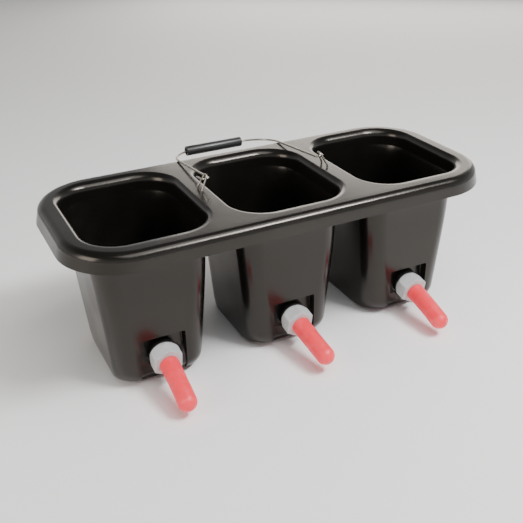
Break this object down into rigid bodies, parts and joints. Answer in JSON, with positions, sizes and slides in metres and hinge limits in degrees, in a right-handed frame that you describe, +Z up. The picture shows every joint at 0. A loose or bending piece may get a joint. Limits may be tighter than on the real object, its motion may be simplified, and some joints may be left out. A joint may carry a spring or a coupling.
{
  "type": "calf feeder trough",
  "caption": "Black moulded feeding trough with deep pots in a row, a coral rubber teat on a grey hexagonal nut low on each pot, and a swinging wire bail with a loose grip.",
  "frame": {"origin": "centre of the middle pot's flat base, directly under the middle of the deck", "axes": "+X along the row of pots, +Y towards the rear, away from the teats, +Z up"},
  "size_m": [0.694, 0.3886, 0.2785],
  "materials": {
    "trough_plastic": "satin gloss black moulded polyethylene with slight waviness",
    "galvanised_wire": "bright galvanised wire",
    "grip_plastic": "satin black extruded tube",
    "teat_rubber": "soft translucent coral red rubber",
    "nut_plastic": "light grey moulded nylon",
    "fitting_plastic": "black moulded nylon",
    "gasket_rubber": "matt black sheet rubber",
    "valve_plastic": "white moulded plastic",
    "ball_plastic": "polished white plastic ball"
  },
  "bodies": {
    "trough": {"trough_body": "trough_plastic", "staple_left": "galvanised_wire", "staple_right": "galvanised_wire", "teat_left": "teat_rubber", "cap_nut_left": "nut_plastic", "outer_gasket_left": "gasket_rubber", "valve_body_left": "fitting_plastic", "inner_gasket_left": "gasket_rubber", "valve_seat_left": "valve_plastic", "ball_retainer_left": "valve_plastic", "teat_middle": "teat_rubber", "cap_nut_middle": "nut_plastic", "outer_gasket_middle": "gasket_rubber", "valve_body_middle": "fitting_plastic", "inner_gasket_middle": "gasket_rubber", "valve_seat_middle": "valve_plastic", "ball_retainer_middle": "valve_plastic", "teat_right": "teat_rubber", "cap_nut_right": "nut_plastic", "outer_gasket_right": "gasket_rubber", "valve_body_right": "fitting_plastic", "inner_gasket_right": "gasket_rubber", "valve_seat_right": "valve_plastic", "ball_retainer_right": "valve_plastic"},
    "bail": {"bail_wire": "galvanised_wire"},
    "grip": {"handle_grip": "grip_plastic"},
    "ball_left": {"valve_ball_left": "ball_plastic"},
    "ball_middle": {"valve_ball_middle": "ball_plastic"},
    "ball_right": {"valve_ball_right": "ball_plastic"}
  },
  "joints": [
    {"name": "bail_swing", "type": "hinge", "parent": "trough", "child": "bail", "pos_m": [0, 0.006, 0.271], "axis": [1, 0, 0], "range_deg": [0, 192.5]},
    {"name": "grip_spin", "type": "hinge", "parent": "bail", "child": "grip", "pos_m": [-0.0085, 0.18511, 0.2503], "axis": [1, 0, 0], "continuous": true},
    {"name": "valve_ball_slide_left", "type": "slide", "parent": "trough", "child": "ball_left", "axis": [0, -0.9848, -0.1736], "range_m": [-0.0044, 0]},
    {"name": "valve_ball_slide_middle", "type": "slide", "parent": "trough", "child": "ball_middle", "axis": [0, -0.9848, -0.1736], "range_m": [-0.0044, 0]},
    {"name": "valve_ball_slide_right", "type": "slide", "parent": "trough", "child": "ball_right", "axis": [0, -0.9848, -0.1736], "range_m": [-0.0044, 0]}
  ]
}
